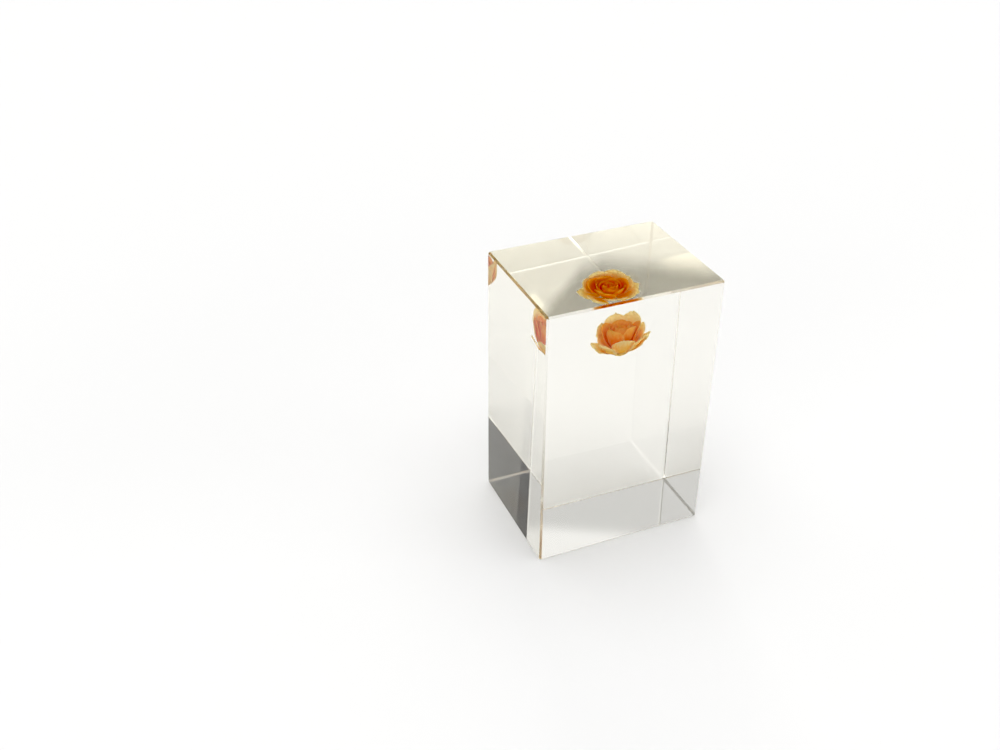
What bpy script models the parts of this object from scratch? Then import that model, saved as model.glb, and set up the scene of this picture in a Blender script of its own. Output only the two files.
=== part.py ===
"""Clear resin block with a dried orange rose head sealed in it, near the top.

Metres, +Z up. The origin is the middle of the block's base, with the width along X and
the depth along Y. The block is parted in two round the pocket that the flower lies in.
"""

import math
from collections import namedtuple

import bmesh
import bpy
import numpy as np
from mathutils import Vector

MM = 0.001

# Block
BLOCK_WIDTH = 50.0 * MM
BLOCK_DEPTH = 38.0 * MM
BLOCK_HEIGHT = 78.0 * MM
EDGE_CHAMFER = 0.5 * MM

# Pocket round the flower, an oval turned about an upright axis, and the joint across it
POCKET_RADIUS = 9.3 * MM
POCKET_BELOW = 5.7 * MM
POCKET_ABOVE = 7.7 * MM
POCKET_ROUNDNESS_BELOW = 2.2
POCKET_ROUNDNESS_ABOVE = 3.5
POCKET_STEPS = 24
POCKET_RINGS = 4
PARTING_HEIGHT = 60.5 * MM
PARTING_GAP = 0.3 * MM

# Flower: the point on its axis where the middle petals leave the receptacle
FLOWER_PLACE = Vector((1.3, -1.2, 57.4)) * MM
GOLDEN_ANGLE = math.radians(137.508)
FIRST_AZIMUTH = math.radians(10.0)
HEART_COUNT = 6
CUP_COUNT = 9
PETAL_THICKNESS = 0.2 * MM
OUTER_THICKNESS = 0.24 * MM
CLAW_THINNING = 0.6
CLAW_WIDTH = 0.29
WIDEST_HALF_ANGLE = math.radians(60.0)
LENGTHWISE_STEPS = 9
CROSSWISE_STEPS = 8

# Petal outline: how far it closes at the tip, how round the tip is, and how much closer
# together the rows of faces lie there
TIP_CLOSING = 0.995
ROUND_TAPER = 0.5
POINTED_TAPER = 0.72
ROW_CROWDING = 1.5

# Receptacle: the flower's base, with the cut end of the stem, as (radius, height) in
# millimetres from the petals' centre
RECEPTACLE_STEPS = 16
RECEPTACLE_PROFILE = [
    (0.0, 0.45), (0.45, 0.34), (0.8, 0.05), (1.1, -0.22), (1.38, -0.5), (1.75, -0.98),
    (1.8, -1.2), (1.4, -1.55), (0.8, -1.75), (0.55, -1.95), (0.0, -1.95),
]

# Colours, linear
RESIN_COLOUR = (0.95, 0.94, 0.88)
RESIN_IOR = 1.5
HEART_COLOUR = (0.62, 0.12, 0.008)
CUP_COLOUR = (0.80, 0.27, 0.02)
OUTER_COLOUR = (0.90, 0.56, 0.12)
RECEPTACLE_COLOUR = (0.55, 0.40, 0.12)

# A petal's lengths are in millimetres and its angles in degrees. flare, stand and curl are
# its lean from upright at the claw, half-way and at the tip. taper is low for a round tip.
Petal = namedtuple(
    "Petal", "azimuth length flare stand curl width claw_radius claw_height roll wrap taper"
)

# Outer petals, from the inside out: azimuth, length, flare, stand, curl, width, roll
OUTER_PETALS = [
    (93.5, 10.8, 70, -1, 10, 4.7, 0.1),
    (46.5, 11.4, 74, -7, 16, 4.1, 0.3),
    (132.5, 9.9, 78, 13, 4, 3.6, 0.25),
    (262, 7.1, 76, -5, 48, 4.1, 0.2),
    (17, 8.9, 80, -2, 40, 3.3, 0.3),
    (318, 7.7, 84, -1, 57, 3.6, 0.3),
    (207, 7.1, 84, 4, 60, 3.6, 0.35),
    (-5, 7.7, 91, 10, 58, 3.0, 0.3),
    (158, 7.0, 92, 23, 60, 2.6, 0.3),
]


def clear_scene():
    for thing in list(bpy.data.objects):
        bpy.data.objects.remove(thing, do_unlink=True)


def mix(a, b, share):
    return a + (b - a) * share


def ease(x, start, end):
    t = np.clip((x - start) / (end - start), 0.0, 1.0)
    return t * t * (3.0 - 2.0 * t)


def make_material(name, colour, roughness, transmission=0.0, ior=1.45):
    material = bpy.data.materials.new(name)
    material.use_nodes = True
    shader = material.node_tree.nodes["Principled BSDF"]
    shader.inputs["Base Color"].default_value = (*colour, 1.0)
    shader.inputs["Roughness"].default_value = roughness
    shader.inputs["Metallic"].default_value = 0.0
    shader.inputs["Transmission Weight"].default_value = transmission
    shader.inputs["IOR"].default_value = ior
    material.diffuse_color = (*colour, 1.0)
    return material


def add_object(name, mesh, material=None):
    thing = bpy.data.objects.new(name, mesh)
    bpy.context.scene.collection.objects.link(thing)
    if material:
        mesh.materials.append(material)
    return thing


def finish_mesh(shape, name, smooth=True):
    bmesh.ops.recalc_face_normals(shape, faces=shape.faces[:])
    mesh = bpy.data.meshes.new(name)
    shape.to_mesh(mesh)
    shape.free()
    if smooth:
        mesh.shade_smooth()
    return mesh


def make_guide(thing):
    """Keep a cutter out of the finished part."""
    thing.hide_render = True
    thing.display_type = "WIRE"


def turned_mesh(name, profile, steps):
    """Spin a list of (radius, height) points, which starts and ends on the axis, about Z."""
    shape = bmesh.new()
    points = [shape.verts.new((radius, 0.0, height)) for radius, height in profile]
    edges = [shape.edges.new(pair) for pair in zip(points, points[1:])]
    bmesh.ops.spin(
        shape, geom=points + edges, cent=(0, 0, 0), axis=(0, 0, 1),
        angle=2 * math.pi, steps=steps, use_merge=True,
    )
    bmesh.ops.remove_doubles(shape, verts=shape.verts[:], dist=0.001 * MM)
    return finish_mesh(shape, name)


def make_pocket():
    """The oval hollow: a superellipse above and below the parting height."""
    def arc(reach, roundness):
        for ring in range(POCKET_RINGS + 1):
            angle = 0.5 * math.pi * ring / POCKET_RINGS
            radius = POCKET_RADIUS * math.cos(angle) ** (2 / roundness)
            yield max(radius, 0.0), reach * math.sin(angle) ** (2 / roundness)

    below = [(r, PARTING_HEIGHT - h) for r, h in arc(POCKET_BELOW, POCKET_ROUNDNESS_BELOW)]
    above = [(r, PARTING_HEIGHT + h) for r, h in arc(POCKET_ABOVE, POCKET_ROUNDNESS_ABOVE)]
    profile = below[::-1] + above[1:]
    profile[0] = (0.0, profile[0][1])
    profile[-1] = (0.0, profile[-1][1])
    pocket = add_object("pocket_guide", turned_mesh("pocket_guide", profile, POCKET_STEPS))
    pocket.location = (FLOWER_PLACE.x, FLOWER_PLACE.y, 0.0)
    make_guide(pocket)
    return pocket


def chamfered_block(keep_below, height):
    """The whole block, cut level at a height, with one side of the cut kept."""
    shape = bmesh.new()
    bmesh.ops.create_cube(shape, size=1.0)
    bmesh.ops.scale(shape, vec=(BLOCK_WIDTH, BLOCK_DEPTH, BLOCK_HEIGHT), verts=shape.verts[:])
    bmesh.ops.translate(shape, vec=(0, 0, BLOCK_HEIGHT / 2), verts=shape.verts[:])
    bmesh.ops.bevel(
        shape, geom=shape.edges[:], offset=EDGE_CHAMFER, segments=1, affect="EDGES",
        offset_type="OFFSET",
    )
    everything = shape.verts[:] + shape.edges[:] + shape.faces[:]
    cut = bmesh.ops.bisect_plane(
        shape, geom=everything, plane_co=(0, 0, height), plane_no=(0, 0, 1),
        clear_outer=keep_below, clear_inner=not keep_below,
    )
    rim = [part for part in cut["geom_cut"] if isinstance(part, bmesh.types.BMEdge)]
    bmesh.ops.contextual_create(shape, geom=rim)
    return shape


def make_block_half(name, keep_below, height, pocket, material):
    mesh = finish_mesh(chamfered_block(keep_below, height), name, smooth=False)
    half = add_object(name, mesh, material)
    hollow = half.modifiers.new("pocket", "BOOLEAN")
    hollow.operation = "DIFFERENCE"
    hollow.solver = "EXACT"
    hollow.object = pocket
    return half


def spiral_petal(number):
    """One of the petals of the heart and the cup, which follow the golden angle outwards."""
    share = number / (HEART_COUNT + CUP_COUNT - 1)
    return Petal(
        azimuth=math.degrees(GOLDEN_ANGLE * number + FIRST_AZIMUTH),
        length=mix(5.4, 8.8, share ** 0.8),
        flare=mix(22, 68, share ** 0.7),
        stand=mix(2, 4, share),
        curl=mix(-22, 20, share ** 1.5),
        width=mix(2.2, 4.3, share ** 0.7),
        claw_radius=mix(0.42, 1.35, share),
        claw_height=mix(0.85, 0.05, share),
        roll=0.0,
        wrap=mix(0.10, 0.22, share),
        taper=mix(ROUND_TAPER, POINTED_TAPER, share ** 2),
    )


def outer_petal(number):
    """One of the open petals round the cup, whose margins roll back."""
    azimuth, length, flare, stand, curl, width, roll = OUTER_PETALS[number]
    share = ((number + 1) / len(OUTER_PETALS)) ** 0.8
    return Petal(
        azimuth, length, flare, stand, curl, width,
        claw_radius=mix(1.5, 2.3, share),
        claw_height=mix(-0.1, -0.95, share),
        roll=roll,
        wrap=0.22,
        taper=POINTED_TAPER,
    )


def rows_along(lengthwise):
    """Each row's share of the petal's length, closer together towards the tip."""
    return 1.0 - (1.0 - np.linspace(0.0, 1.0, lengthwise + 1)) ** ROW_CROWDING


def petal_points(petal, lengthwise, crosswise):
    """The petal's middle surface in millimetres, from the flower's own centre."""
    fine = np.linspace(0.0, 1.0, 401)
    flare, stand, curl = (math.radians(a) for a in (petal.flare, petal.stand, petal.curl))
    lean = flare * (1 - fine) ** 2 + 2 * stand * fine * (1 - fine) + curl * fine ** 2
    middle = (lean[1:] + lean[:-1]) / 2
    step = petal.length / (len(fine) - 1)
    out = petal.claw_radius + np.concatenate([[0.0], np.cumsum(np.sin(middle) * step)])
    up = petal.claw_height + np.concatenate([[0.0], np.cumsum(np.cos(middle) * step)])

    along = rows_along(lengthwise)
    across = np.linspace(-1.0, 1.0, crosswise + 1)[None, :]
    radius = np.interp(along, fine, out)[:, None]
    height = np.interp(along, fine, up)[:, None]

    def blade(s):
        return s ** 1.25 * (1 - TIP_CLOSING * s) ** petal.taper

    claw = CLAW_WIDTH * petal.claw_radius * (1 - along) ** 2
    half_width = claw + petal.width * blade(along) / blade(fine).max()
    half_angle = half_width[:, None] / radius
    half_angle = WIDEST_HALF_ANGLE * np.tanh(half_angle / WIDEST_HALF_ANGLE)
    angle = math.radians(petal.azimuth) + half_angle * across

    opening = ease(along, 0.15, 0.6)[:, None]
    margin = np.abs(across) ** 2.5
    radius = radius + (petal.wrap * across + petal.roll * margin) * opening
    height = height - 0.5 * petal.roll * margin * opening
    return np.stack([radius * np.cos(angle), radius * np.sin(angle), height], axis=-1)


def add_sheet(shape, points):
    """Add a grid of points as faces, and return each vertex's share of the thickness."""
    rows, columns = points.shape[:2]
    grid = [[shape.verts.new(point) for point in row] for row in points * MM]
    for i in range(rows - 1):
        for j in range(columns - 1):
            shape.faces.new((grid[i][j], grid[i][j + 1], grid[i + 1][j + 1], grid[i + 1][j]))
    share = mix(CLAW_THINNING, 1.0, ease(rows_along(rows - 1), 0.0, 0.35))
    return [float(share[i]) for i in range(rows) for _ in range(columns)]


def thicken(thing, thickness, shares):
    group = thing.vertex_groups.new(name="thickness")
    for index, share in enumerate(shares):
        group.add([index], share, "REPLACE")
    solid = thing.modifiers.new("thickness", "SOLIDIFY")
    solid.thickness = thickness
    solid.offset = 0.0
    solid.vertex_group = group.name
    solid.thickness_vertex_group = 0.0


def make_petal(name, petal, thickness, material):
    shape = bmesh.new()
    points = petal_points(petal, LENGTHWISE_STEPS, CROSSWISE_STEPS)
    shares = add_sheet(shape, points)
    thing = add_object(name, finish_mesh(shape, name), material)
    thing.location = FLOWER_PLACE
    thicken(thing, thickness, shares)
    return thing


def make_petals():
    for number in range(HEART_COUNT):
        name = f"heart_petal_{number + 1}"
        material = make_material(name, HEART_COLOUR, 0.6)
        make_petal(name, spiral_petal(number), PETAL_THICKNESS, material)
    for number in range(CUP_COUNT):
        name = f"cup_petal_{number + 1}"
        material = make_material(name, CUP_COLOUR, 0.6)
        make_petal(name, spiral_petal(HEART_COUNT + number), PETAL_THICKNESS, material)
    for number in range(len(OUTER_PETALS)):
        name = f"outer_petal_{number + 1}"
        material = make_material(name, OUTER_COLOUR, 0.6)
        make_petal(name, outer_petal(number), OUTER_THICKNESS, material)


def make_receptacle():
    """The base, turned from its dome down to the cut stem."""
    profile = [(radius * MM, height * MM) for radius, height in RECEPTACLE_PROFILE]
    mesh = turned_mesh("receptacle", profile, RECEPTACLE_STEPS)
    material = make_material("receptacle", RECEPTACLE_COLOUR, 0.8)
    receptacle = add_object("receptacle", mesh, material)
    receptacle.location = FLOWER_PLACE
    return receptacle


def make_block():
    pocket = make_pocket()
    lower = make_material("resin_lower", RESIN_COLOUR, 0.02, 1.0, RESIN_IOR)
    upper = make_material("resin_upper", RESIN_COLOUR, 0.02, 1.0, RESIN_IOR)
    make_block_half("resin_lower", True, PARTING_HEIGHT - PARTING_GAP / 2, pocket, lower)
    make_block_half("resin_upper", False, PARTING_HEIGHT + PARTING_GAP / 2, pocket, upper)


def main():
    clear_scene()
    make_block()
    make_receptacle()
    make_petals()


main()
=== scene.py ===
"""Looks of a clear resin block with a dried orange rose head sealed in it, near the top.

Metres, +Z up, with the origin at the middle of the block's base.
"""

import math
from collections import namedtuple

import bmesh
import bpy
import numpy as np
from mathutils import Matrix, Vector, noise
from mathutils.bvhtree import BVHTree


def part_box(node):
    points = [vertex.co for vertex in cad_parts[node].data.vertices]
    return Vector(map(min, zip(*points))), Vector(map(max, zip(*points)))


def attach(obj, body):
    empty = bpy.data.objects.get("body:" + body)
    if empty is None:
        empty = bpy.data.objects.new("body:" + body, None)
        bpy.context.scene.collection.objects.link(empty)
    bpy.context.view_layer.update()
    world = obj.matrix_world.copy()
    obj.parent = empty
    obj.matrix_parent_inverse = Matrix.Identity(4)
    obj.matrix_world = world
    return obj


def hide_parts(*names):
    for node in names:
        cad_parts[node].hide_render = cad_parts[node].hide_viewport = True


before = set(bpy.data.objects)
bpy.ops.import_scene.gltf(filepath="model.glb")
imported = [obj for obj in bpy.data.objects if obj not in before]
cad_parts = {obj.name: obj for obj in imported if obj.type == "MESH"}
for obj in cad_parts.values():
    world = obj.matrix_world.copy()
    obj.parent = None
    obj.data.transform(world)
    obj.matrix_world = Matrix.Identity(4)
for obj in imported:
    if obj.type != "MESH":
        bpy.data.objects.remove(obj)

MM = 0.001

# Camera: where the photo was taken from, and the angles it looks along
CAMERA_PLACE = Vector((-126.0, -229.1, 214.9)) * MM
CAMERA_AZIMUTH = math.radians(22.90)
CAMERA_DOWN = math.radians(33.34)
CAMERA_ROLL = math.radians(0.27)
CAMERA_LENS = 40.57
SENSOR_WIDTH = 36.0

# Stage
FLOOR_SIZE = 3.0
FLOOR_GAP = 0.05 * MM
FLOOR_COLOUR = (0.765, 0.765, 0.765)
BLACK_LEVEL = 0.04

# Light paths: many crossings, because light stays long in the block and between petals
MAX_BOUNCES = 128
CLEAR_BOUNCES = 96
DIFFUSE_BOUNCES = 32

# Studio light, as radiance by compass direction (turn, degrees from +Y towards +X) and
# height (degrees above level). Each panel: turn, half width, low, high, softness, radiance
BASE_GLOW = 0.45
PANELS = [
    (28.0, 75.0, 10.0, 31.0, 1.0, 0.22),
    (28.0, 75.0, 31.0, 40.9, 0.5, 0.69),
    (28.0, 75.0, 40.9, 62.0, 0.5, 0.98),
    (180.0, 45.0, 30.0, 46.0, 1.5, 0.015),
    (180.0, 70.0, 3.0, 26.0, 2.0, 3.2),
]
PANEL_SIDE_SOFTNESS = 4.0
OVERHEAD_STARTS = 54.0
OVERHEAD_FULL = 62.0
OVERHEAD_RADIANCE = 2.5

# Wall behind the block, the first panel: its warm tint
WALL = PANELS[0]
WALL_TINT = (1.0, 0.96, 0.84)

# Softbox in front of that wall. Its upper edge is level on the right, and climbs on the left
# in two slopes of height = slope * turn + rise
SOFTBOX_LOW = (20.0, 22.0)
SOFTBOX_LEVEL_EDGE = 27.6
SOFTBOX_SLOPES = [(-0.4, 39.1), (-1.1, 58.35)]
SOFTBOX_FADE = (-0.5, 0.9)
SOFTBOX_TURN = 28.0
SOFTBOX_HALF_WIDTH = 18.0
SOFTBOX_SIDE_SOFTNESS = 2.0
SOFTBOX_RADIANCE = 3.9

# Block
EDGE_CHAMFER = 0.5 * MM
RESIN_IOR = 1.5
RESIN_TINT = (0.962, 0.952, 0.895)
RESIN_DENSITY = 20.0
CHAMFER_ROUGHNESS = 0.2

# Flower: the point on its axis where the middle petals leave the receptacle
FLOWER_PLACE = Vector((1.3, -1.2, 57.4)) * MM
GOLDEN_ANGLE = math.radians(137.508)
FIRST_AZIMUTH = math.radians(10.0)
HEART_COUNT = 6
CUP_COUNT = 9
PETAL_THICKNESS = 0.13 * MM
CLAW_WIDTH = 0.29
WIDEST_HALF_ANGLE = math.radians(60.0)
LENGTHWISE_STEPS = 64
CROSSWISE_STEPS = 48

# Petal outline: how far it closes at the tip, how round the tip is, and how much closer
# together the rows of faces lie there
TIP_CLOSING = 0.995
ROUND_TAPER = 0.5
POINTED_TAPER = 0.72
ROW_CROWDING = 1.5

# Receptacle: the flower's base, with the cut end of the stem, as (radius, height) in
# millimetres from the petals' centre
RECEPTACLE_STEPS = 64
RECEPTACLE_PROFILE = [
    (0.0, 0.45), (0.45, 0.34), (0.8, 0.14), (1.2, -0.08), (1.6, -0.4), (2.05, -0.88),
    (2.1, -1.15), (1.85, -1.38), (1.4, -1.58), (0.8, -1.75), (0.55, -1.95), (0.0, -1.93),
]

# A petal's lengths are in millimetres and its angles in degrees. flare, stand and curl are
# its lean from upright at the claw, half-way and at the tip. taper is low for a round tip.
Petal = namedtuple(
    "Petal", "azimuth length flare stand curl width claw_radius claw_height roll wrap taper"
)

# Outer petals, from the inside out: azimuth, length, flare, stand, curl, width, roll
OUTER_PETALS = [
    (93.5, 10.8, 70, -1, 10, 4.7, 0.1),
    (46.5, 11.4, 74, -7, 16, 4.1, 0.3),
    (132.5, 9.9, 78, 13, 4, 3.6, 0.25),
    (262, 7.1, 76, -5, 48, 4.1, 0.2),
    (17, 8.9, 80, -2, 40, 3.3, 0.3),
    (318, 7.7, 84, -1, 57, 3.6, 0.3),
    (207, 7.1, 84, 4, 60, 3.6, 0.35),
    (-5, 7.7, 91, 10, 58, 3.0, 0.3),
    (158, 7.0, 92, 23, 60, 2.6, 0.3),
]

# How far drying moves a petal's surface, in millimetres
Drying = namedtuple("Drying", "dents waves ripples veins rolled")
HEART_DRYING = Drying(0.03, 0.05, 0.02, 0.006, 0.03)
CUP_DRYING = Drying(0.07, 0.12, 0.05, 0.010, 0.10)
OUTER_DRYING = Drying(0.14, 0.34, 0.12, 0.012, 0.22)

# Drying never moves a petal further than this share of the free gap to the next one, and
# gaps are measured up to a width in millimetres
MOVE_SHARE = 0.45
WIDEST_GAP = 1.4

# First seed of each ring of petals, and how far apart the seeds of one petal's noises are
CUP_SEED = 10
OUTER_SEED = 20
WAVES_SEED = 40
RIPPLES_SEED = 80


def mix(a, b, share):
    return a + (b - a) * share


def ease(x, start, end):
    t = np.clip((x - start) / (end - start), 0.0, 1.0)
    return t * t * (3.0 - 2.0 * t)


def add_object(name, mesh, material=None):
    thing = bpy.data.objects.new(name, mesh)
    bpy.context.scene.collection.objects.link(thing)
    if material:
        mesh.materials.append(material)
    return thing


def finish_mesh(shape, name, smooth=True):
    bmesh.ops.recalc_face_normals(shape, faces=shape.faces[:])
    mesh = bpy.data.meshes.new(name)
    shape.to_mesh(mesh)
    shape.free()
    if smooth:
        mesh.shade_smooth()
    return mesh


class Nodes:
    """Adds linked nodes to a material's or the world's tree."""

    def __init__(self, owner):
        owner.use_nodes = True
        self.tree = owner.node_tree
        self.tree.nodes.clear()

    def add(self, kind, settings=None, **inputs):
        node = self.tree.nodes.new(kind)
        for name, value in (settings or {}).items():
            setattr(node, name, value)
        for name, value in inputs.items():
            self.put(node.inputs[name.replace("_", " ")], value)
        return node

    def put(self, socket, value):
        if isinstance(value, bpy.types.NodeSocket):
            self.tree.links.new(value, socket)
        else:
            socket.default_value = value

    def math(self, operation, *values):
        node = self.add("ShaderNodeMath", {"operation": operation})
        for socket, value in zip(node.inputs, values):
            self.put(socket, value)
        return node.outputs[0]

    def ramp(self, value, low, high, start=0.0, end=1.0):
        node = self.add("ShaderNodeMapRange", {"interpolation_type": "SMOOTHSTEP"})
        for socket, item in zip(node.inputs, (value, low, high, start, end)):
            self.put(socket, item)
        return node.outputs[0]

    def blend(self, share, first, second):
        node = self.add("ShaderNodeMix", {"data_type": "RGBA"})
        colours = [i for i in node.inputs if i.type == "RGBA"]
        self.put(node.inputs[0], share)
        self.put(colours[0], first)
        self.put(colours[1], second)
        return [o for o in node.outputs if o.type == "RGBA"][0]

    def noise(self, vector, scale, detail=3.0, roughness=0.5):
        node = self.add(
            "ShaderNodeTexNoise", Vector=vector, Scale=scale, Detail=detail,
            Roughness=roughness,
        )
        return node.outputs["Fac"]


def colour(red, green, blue):
    return (red, green, blue, 1.0)


# Materials

def resin_material():
    """Clear cast resin: plain transmission, and a faint yellow absorption inside."""
    material = bpy.data.materials.new("resin")
    nodes = Nodes(material)
    place = nodes.add("ShaderNodeTexCoord").outputs["Object"]
    swell = nodes.noise(place, 90.0, 2.0)
    bump = nodes.add("ShaderNodeBump", Height=swell, Strength=0.02, Distance=0.05 * MM)
    chamfer = nodes.add("ShaderNodeAttribute", {"attribute_name": "chamfer"}).outputs["Fac"]
    shader = nodes.add("ShaderNodeBsdfPrincipled", IOR=RESIN_IOR, Normal=bump.outputs[0])
    nodes.put(shader.inputs["Roughness"], nodes.math("MULTIPLY", chamfer, CHAMFER_ROUGHNESS))
    shader.inputs["Base Color"].default_value = colour(1.0, 1.0, 1.0)
    shader.inputs["Transmission Weight"].default_value = 1.0
    inside = nodes.add(
        "ShaderNodeVolumeAbsorption", Color=(*RESIN_TINT, 1.0), Density=RESIN_DENSITY,
    )
    nodes.add(
        "ShaderNodeOutputMaterial", Surface=shader.outputs[0], Volume=inside.outputs[0],
    )
    return material


def petal_material(name, claw, body, margin, vein, pale_from, through):
    """Dried petal: fine veins along it, a pale margin and brown scorched edges."""
    material = bpy.data.materials.new(name)
    nodes = Nodes(material)
    along = nodes.add("ShaderNodeAttribute", {"attribute_name": "along"}).outputs["Fac"]
    across = nodes.add("ShaderNodeAttribute", {"attribute_name": "across"}).outputs["Fac"]
    place = nodes.add("ShaderNodeTexCoord").outputs["Object"]

    veins_at = nodes.add("ShaderNodeCombineXYZ")
    nodes.put(veins_at.inputs[0], nodes.math("MULTIPLY", across, 13.0))
    nodes.put(veins_at.inputs[1], nodes.math("MULTIPLY", along, 2.2))
    veins = nodes.noise(veins_at.outputs[0], 1.6, 4.0, 0.6)
    vein_share = nodes.ramp(veins, 0.42, 0.62)
    mottle = nodes.noise(place, 900.0, 4.0, 0.6)

    side = nodes.math("ABSOLUTE", across)
    reach = nodes.math("MAXIMUM", along, nodes.math("MULTIPLY", side, 0.96))
    speckle = nodes.math("MULTIPLY", nodes.math("SUBTRACT", mottle, 0.5), 0.24)
    uneven = nodes.math("ADD", reach, speckle)
    tint = nodes.blend(nodes.ramp(along, 0.05, 0.40), claw, body)
    tint = nodes.blend(nodes.ramp(uneven, pale_from, 1.0), tint, margin)
    scorch = nodes.math("MULTIPLY", nodes.ramp(uneven, 1.0, 1.08), 0.35)
    tint = nodes.blend(scorch, tint, colour(0.50, 0.24, 0.05))
    tint = nodes.blend(nodes.math("MULTIPLY", vein_share, 0.5), tint, vein)

    bump = nodes.add("ShaderNodeBump", Height=veins, Strength=0.6, Distance=0.04 * MM)
    shader = nodes.add("ShaderNodeBsdfPrincipled", Roughness=0.7, Normal=bump.outputs[0])
    nodes.put(shader.inputs["Base Color"], tint)
    shader.inputs["Specular IOR Level"].default_value = 0.1
    back = nodes.add("ShaderNodeBsdfTranslucent", Color=tint, Normal=bump.outputs[0])
    both = nodes.add("ShaderNodeMixShader")
    both.inputs[0].default_value = through
    nodes.put(both.inputs[1], shader.outputs[0])
    nodes.put(both.inputs[2], back.outputs[0])
    nodes.add("ShaderNodeOutputMaterial", Surface=both.outputs[0])
    return material


def receptacle_material():
    """Dried straw-coloured skin with darker specks."""
    material = bpy.data.materials.new("receptacle")
    nodes = Nodes(material)
    place = nodes.add("ShaderNodeTexCoord").outputs["Object"]
    grain = nodes.noise(place, 1400.0, 4.0, 0.6)
    pale, dark = colour(0.90, 0.64, 0.16), colour(0.62, 0.40, 0.08)
    tint = nodes.blend(nodes.ramp(grain, 0.35, 0.7), pale, dark)
    bump = nodes.add("ShaderNodeBump", Height=grain, Strength=0.6, Distance=0.06 * MM)
    shader = nodes.add("ShaderNodeBsdfPrincipled", Roughness=0.8, Normal=bump.outputs[0])
    nodes.put(shader.inputs["Base Color"], tint)
    shader.inputs["Specular IOR Level"].default_value = 0.1
    nodes.add("ShaderNodeOutputMaterial", Surface=shader.outputs[0])
    return material


# Resin block

def make_block():
    """One chamfered block in place of the two halves that the pocket parts."""
    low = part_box("resin_lower")[0]
    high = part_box("resin_upper")[1]
    shape = bmesh.new()
    bmesh.ops.create_cube(shape, size=1.0)
    bmesh.ops.scale(shape, vec=high - low, verts=shape.verts[:])
    bmesh.ops.translate(shape, vec=(high + low) / 2, verts=shape.verts[:])
    bmesh.ops.bevel(
        shape, geom=shape.edges[:], offset=EDGE_CHAMFER, segments=1, affect="EDGES",
        offset_type="OFFSET",
    )
    mesh = finish_mesh(shape, "resin_block", smooth=False)
    slanted = [float(max(abs(axis) for axis in face.normal) < 0.99) for face in mesh.polygons]
    mesh.attributes.new("chamfer", "FLOAT", "FACE").data.foreach_set("value", slanted)
    block = add_object("resin_block", mesh, resin_material())
    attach(block, "root")
    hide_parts("resin_lower", "resin_upper")
    return block


# Petals

def spiral_petal(number):
    """One of the petals of the heart and the cup, which follow the golden angle outwards."""
    share = number / (HEART_COUNT + CUP_COUNT - 1)
    return Petal(
        azimuth=math.degrees(GOLDEN_ANGLE * number + FIRST_AZIMUTH),
        length=mix(5.4, 8.8, share ** 0.8),
        flare=mix(22, 68, share ** 0.7),
        stand=mix(2, 4, share),
        curl=mix(-22, 20, share ** 1.5),
        width=mix(2.2, 4.3, share ** 0.7),
        claw_radius=mix(0.42, 1.35, share),
        claw_height=mix(0.85, 0.05, share),
        roll=0.0,
        wrap=mix(0.10, 0.22, share),
        taper=mix(ROUND_TAPER, POINTED_TAPER, share ** 2),
    )


def outer_petal(number):
    """One of the open petals round the cup, whose margins roll back."""
    azimuth, length, flare, stand, curl, width, roll = OUTER_PETALS[number]
    share = ((number + 1) / len(OUTER_PETALS)) ** 0.8
    return Petal(
        azimuth, length, flare, stand, curl, width,
        claw_radius=mix(1.5, 2.3, share),
        claw_height=mix(-0.1, -0.95, share),
        roll=roll,
        wrap=0.22,
        taper=POINTED_TAPER,
    )


def rows_along(lengthwise):
    """Each row's share of the petal's length, closer together towards the tip."""
    return 1.0 - (1.0 - np.linspace(0.0, 1.0, lengthwise + 1)) ** ROW_CROWDING


def petal_points(petal, lengthwise, crosswise):
    """The petal's middle surface in millimetres, from the flower's own centre."""
    fine = np.linspace(0.0, 1.0, 401)
    flare, stand, curl = (math.radians(a) for a in (petal.flare, petal.stand, petal.curl))
    lean = flare * (1 - fine) ** 2 + 2 * stand * fine * (1 - fine) + curl * fine ** 2
    middle = (lean[1:] + lean[:-1]) / 2
    step = petal.length / (len(fine) - 1)
    out = petal.claw_radius + np.concatenate([[0.0], np.cumsum(np.sin(middle) * step)])
    up = petal.claw_height + np.concatenate([[0.0], np.cumsum(np.cos(middle) * step)])

    along = rows_along(lengthwise)
    across = np.linspace(-1.0, 1.0, crosswise + 1)[None, :]
    radius = np.interp(along, fine, out)[:, None]
    height = np.interp(along, fine, up)[:, None]

    def blade(s):
        return s ** 1.25 * (1 - TIP_CLOSING * s) ** petal.taper

    claw = CLAW_WIDTH * petal.claw_radius * (1 - along) ** 2
    half_width = claw + petal.width * blade(along) / blade(fine).max()
    half_angle = half_width[:, None] / radius
    half_angle = WIDEST_HALF_ANGLE * np.tanh(half_angle / WIDEST_HALF_ANGLE)
    angle = math.radians(petal.azimuth) + half_angle * across

    opening = ease(along, 0.15, 0.6)[:, None]
    margin = np.abs(across) ** 2.5
    radius = radius + (petal.wrap * across + petal.roll * margin) * opening
    height = height - 0.5 * petal.roll * margin * opening
    return np.stack([radius * np.cos(angle), radius * np.sin(angle), height], axis=-1)


def surface_normals(points):
    lengthwise = np.gradient(points, axis=0)
    crosswise = np.gradient(points, axis=1)
    normals = np.cross(crosswise, lengthwise)
    return normals / np.maximum(np.linalg.norm(normals, axis=-1, keepdims=True), 1e-9)


def noise_field(points, scale, seed):
    shift = Vector((seed * 7.31, seed * 3.17, seed * 5.73))
    flat = points.reshape(-1, 3)
    values = [noise.noise(Vector(point) * scale + shift) for point in flat]
    return np.array(values).reshape(points.shape[:2])


def surface_tree(points):
    """A petal's middle surface, ready to be measured to."""
    rows, columns = points.shape[:2]
    corners = [i * columns + j for i in range(rows - 1) for j in range(columns - 1)]
    faces = [(k, k + 1, k + columns + 1, k + columns) for k in corners]
    return BVHTree.FromPolygons(points.reshape(-1, 3).tolist(), faces)


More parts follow.
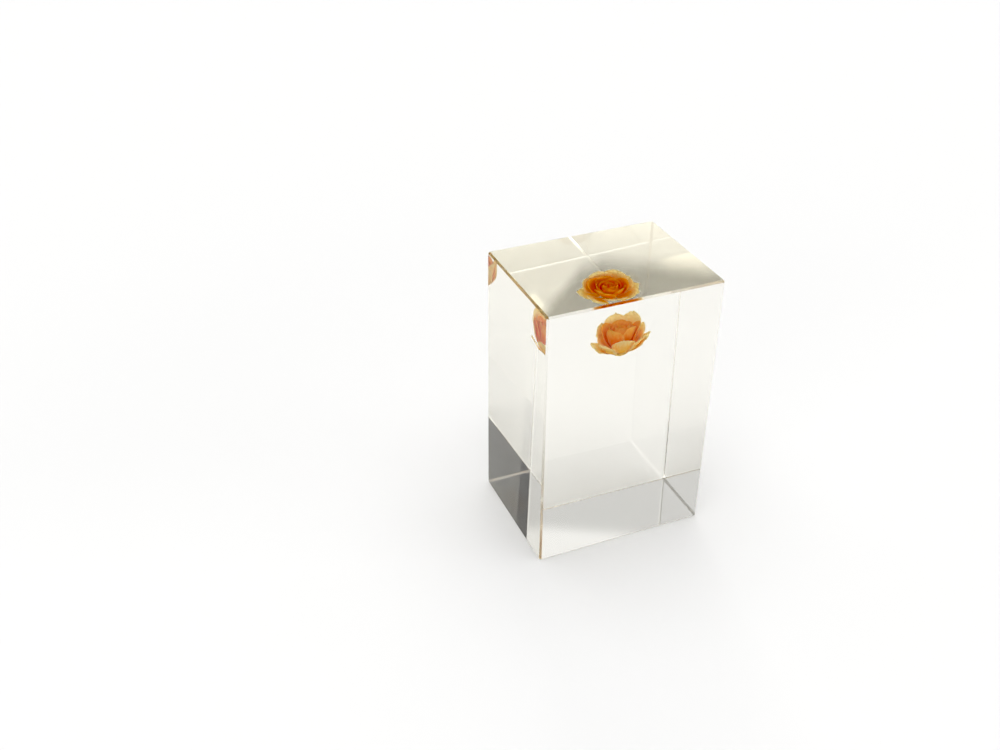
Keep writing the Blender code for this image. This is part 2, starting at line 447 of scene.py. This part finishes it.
def room_to_move(points, others):
    """How far each point can move before its petal might touch another one."""
    gaps = []
    for point in points.reshape(-1, 3).tolist():
        found = [tree.find_nearest(point, WIDEST_GAP)[3] for tree in others]
        gaps.append(min((gap for gap in found if gap is not None), default=WIDEST_GAP))
    free = np.array(gaps).reshape(points.shape[:2]) - PETAL_THICKNESS / MM
    return np.maximum(free, 1e-6) * MOVE_SHARE


def crinkle(points, room, seed, dry):
    """Dry the petal: broad dents all over, a waved margin that rolls back, raised veins."""
    rows, columns = points.shape[:2]
    along = rows_along(rows - 1)[:, None]
    across = np.linspace(-1.0, 1.0, columns)[None, :]
    normals = surface_normals(points)
    opened = ease(along, 0.1, 0.4)
    side = np.abs(across)
    edge = np.maximum(side ** 3 * ease(along, 0.2, 0.6), ease(along, 0.72, 1.0))
    rim = np.maximum(ease(side, 0.72, 1.0) * ease(along, 0.3, 0.6), ease(along, 0.86, 1.0))
    dents = noise_field(points, 0.9, seed) * dry.dents * opened
    waves = noise_field(points, 1.5, seed + WAVES_SEED) * dry.waves * edge
    ripples = noise_field(points, 3.2, seed + RIPPLES_SEED) * dry.ripples * edge
    veins = np.cos(across * math.pi * 11 + along * 2.0) * dry.veins * opened * (1 - 0.5 * side)
    rolled = dry.rolled * rim ** 1.6
    moved = room * np.tanh((dents + waves + ripples + veins + rolled) / room)
    return points + normals * moved[..., None]


def petal_mesh(name, points):
    rows, columns = points.shape[:2]
    shape = bmesh.new()
    grid = [[shape.verts.new(point) for point in row] for row in points * MM]
    for i in range(rows - 1):
        for j in range(columns - 1):
            shape.faces.new((grid[i][j], grid[i][j + 1], grid[i + 1][j + 1], grid[i + 1][j]))
    mesh = finish_mesh(shape, name)
    along = np.repeat(rows_along(rows - 1), columns)
    across = np.tile(np.linspace(-1.0, 1.0, columns), rows)
    for label, values in (("along", along), ("across", across)):
        attribute = mesh.attributes.new(label, "FLOAT", "POINT")
        attribute.data.foreach_set("value", values.astype(np.float32))
    return mesh


def make_petal(name, points, material):
    mesh = petal_mesh(name, points)
    mesh.transform(Matrix.Translation(FLOWER_PLACE))
    thing = add_object(name + "_fine", mesh, material)
    solid = thing.modifiers.new("thickness", "SOLIDIFY")
    solid.thickness = PETAL_THICKNESS
    solid.offset = 0.0
    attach(thing, "root")
    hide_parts(name)
    return thing


def list_petals():
    """Each petal's name, form, seed, drying and ring, from the middle outwards."""
    for number in range(HEART_COUNT):
        name = f"heart_petal_{number + 1}"
        yield name, spiral_petal(number), number, HEART_DRYING, "petal_heart"
    for number in range(CUP_COUNT):
        name = f"cup_petal_{number + 1}"
        yield name, spiral_petal(HEART_COUNT + number), CUP_SEED + number, CUP_DRYING, "petal_cup"
    for number in range(len(OUTER_PETALS)):
        name = f"outer_petal_{number + 1}"
        yield name, outer_petal(number), OUTER_SEED + number, OUTER_DRYING, "petal_outer"


def petal_materials():
    heart = petal_material(
        "petal_heart", colour(1.0, 0.66, 0.06), colour(1.0, 0.58, 0.04),
        colour(1.0, 0.74, 0.14), colour(0.99, 0.42, 0.015), 0.52, 0.35,
    )
    cup = petal_material(
        "petal_cup", colour(0.93, 0.47, 0.03), colour(0.93, 0.34, 0.008),
        colour(0.99, 0.68, 0.13), colour(0.91, 0.24, 0.005), 0.56, 0.35,
    )
    outer = petal_material(
        "petal_outer", colour(1.0, 0.62, 0.06), colour(1.0, 0.70, 0.09),
        colour(1.0, 0.96, 0.56), colour(1.0, 0.60, 0.05), 0.25, 0.35,
    )
    return {"petal_heart": heart, "petal_cup": cup, "petal_outer": outer}


def make_petals():
    materials = petal_materials()
    petals = list(list_petals())
    surfaces = [petal_points(p[1], LENGTHWISE_STEPS, CROSSWISE_STEPS) for p in petals]
    trees = [surface_tree(points) for points in surfaces]
    for index, (name, _, seed, dry, slot) in enumerate(petals):
        room = room_to_move(surfaces[index], trees[:index] + trees[index + 1:])
        points = crinkle(surfaces[index], room, seed, dry)
        make_petal(name, points, materials[slot])


# Receptacle

def turned_mesh(name, profile, steps):
    """Spin a list of (radius, height) points, which starts and ends on the axis, about Z."""
    shape = bmesh.new()
    points = [shape.verts.new((radius, 0.0, height)) for radius, height in profile]
    edges = [shape.edges.new(pair) for pair in zip(points, points[1:])]
    bmesh.ops.spin(
        shape, geom=points + edges, cent=(0, 0, 0), axis=(0, 0, 1),
        angle=2 * math.pi, steps=steps, use_merge=True,
    )
    bmesh.ops.remove_doubles(shape, verts=shape.verts[:], dist=0.001 * MM)
    return finish_mesh(shape, name)


def make_receptacle():
    profile = [(radius * MM, height * MM) for radius, height in RECEPTACLE_PROFILE]
    mesh = turned_mesh("receptacle_fine", profile, RECEPTACLE_STEPS)
    mesh.transform(Matrix.Translation(FLOWER_PLACE))
    receptacle = add_object("receptacle_fine", mesh, receptacle_material())
    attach(receptacle, "root")
    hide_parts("receptacle")


# Stage, camera and light

def make_floor():
    mesh = bpy.data.meshes.new("floor")
    half = FLOOR_SIZE / 2
    corners = [(-half, -half), (half, -half), (half, half), (-half, half)]
    mesh.from_pydata([(x, y, -FLOOR_GAP) for x, y in corners], [], [(0, 1, 2, 3)])
    material = bpy.data.materials.new("floor")
    nodes = Nodes(material)
    shader = nodes.add("ShaderNodeBsdfPrincipled", Roughness=0.9)
    shader.inputs["Base Color"].default_value = (*FLOOR_COLOUR, 1.0)
    shader.inputs["Specular IOR Level"].default_value = 0.0
    nodes.add("ShaderNodeOutputMaterial", Surface=shader.outputs[0])
    add_object("floor", mesh, material)


def make_world():
    """A white studio: a grey wall and softbox behind, a bright front and an overhead light."""
    world = bpy.data.worlds.new("studio")
    bpy.context.scene.world = world
    nodes = Nodes(world)
    way = nodes.add("ShaderNodeTexCoord").outputs["Generated"]
    x, y, z = nodes.add("ShaderNodeSeparateXYZ", Vector=way).outputs
    height = nodes.math("DEGREES", nodes.math("ARCSINE", z))
    turn = nodes.math("DEGREES", nodes.math("ARCTAN2", x, y))

    def near(azimuth, half_width, soft):
        """1 within so many degrees of an azimuth, on both sides of south for 180."""
        angle = nodes.math("ABSOLUTE", turn) if azimuth == 180.0 else turn
        aside = nodes.math("ABSOLUTE", nodes.math("SUBTRACT", angle, azimuth))
        return nodes.ramp(aside, half_width - soft, half_width + soft, 1.0, 0.0)

    def between(low, high, soft):
        above = nodes.ramp(height, low - soft, low + soft)
        below = nodes.ramp(height, high - soft, high + soft, 1.0, 0.0)
        return nodes.math("MULTIPLY", above, below)

    def panel_share(azimuth, half_width, low, high, soft, _):
        side = near(azimuth, half_width, PANEL_SIDE_SOFTNESS)
        return nodes.math("MULTIPLY", side, between(low, high, soft))

    def light_up(share, radiance, before):
        step = nodes.add("ShaderNodeMix", {"data_type": "FLOAT"})
        for socket, value in zip((step.inputs[0], step.inputs[2], step.inputs[3]),
                                 (share, before, radiance)):
            nodes.put(socket, value)
        return step.outputs[0]

    def softbox_share():
        edge = SOFTBOX_LEVEL_EDGE
        for slope, rise in SOFTBOX_SLOPES:
            sloping = nodes.math("MULTIPLY_ADD", turn, slope, rise)
            edge = nodes.math("MAXIMUM", sloping, edge)
        under = nodes.ramp(nodes.math("SUBTRACT", edge, height), *SOFTBOX_FADE)
        over = nodes.ramp(height, *SOFTBOX_LOW)
        side = near(SOFTBOX_TURN, SOFTBOX_HALF_WIDTH, SOFTBOX_SIDE_SOFTNESS)
        return nodes.math("MULTIPLY", nodes.math("MULTIPLY", under, over), side)

    glow = BASE_GLOW
    for panel in PANELS:
        glow = light_up(panel_share(*panel), panel[-1], glow)
    glow = light_up(nodes.ramp(height, OVERHEAD_STARTS, OVERHEAD_FULL), OVERHEAD_RADIANCE, glow)
    glow = light_up(softbox_share(), SOFTBOX_RADIANCE, glow)
    tint = nodes.blend(panel_share(*WALL), colour(1.0, 1.0, 1.0), colour(*WALL_TINT))
    light = nodes.add("ShaderNodeBackground", Color=tint, Strength=glow)
    nodes.add("ShaderNodeOutputWorld", Surface=light.outputs[0])


def make_camera():
    scene = bpy.context.scene
    data = bpy.data.cameras.new("camera")
    data.sensor_width = SENSOR_WIDTH
    data.lens = CAMERA_LENS
    data.clip_start = 0.01
    data.clip_end = 20.0
    camera = bpy.data.objects.new("camera", data)
    scene.collection.objects.link(camera)
    turn = Matrix.Rotation(-CAMERA_AZIMUTH, 4, "Z")
    tilt = Matrix.Rotation(math.pi / 2 - CAMERA_DOWN, 4, "X")
    roll = Matrix.Rotation(CAMERA_ROLL, 4, "Z")
    camera.matrix_world = Matrix.Translation(CAMERA_PLACE) @ turn @ tilt @ roll
    scene.camera = camera


def set_light_paths():
    scene = bpy.context.scene
    scene.view_settings.view_transform = "Standard"
    scene.view_settings.use_curve_mapping = True
    scene.view_settings.curve_mapping.black_level = (BLACK_LEVEL,) * 3
    scene.cycles.max_bounces = MAX_BOUNCES
    scene.cycles.transmission_bounces = CLEAR_BOUNCES
    scene.cycles.glossy_bounces = CLEAR_BOUNCES
    scene.cycles.diffuse_bounces = DIFFUSE_BOUNCES
    scene.cycles.caustics_refractive = True
    scene.cycles.caustics_reflective = True
    scene.cycles.use_denoising = True


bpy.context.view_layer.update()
make_camera()
make_block()
make_petals()
make_receptacle()
make_floor()
make_world()
set_light_paths()
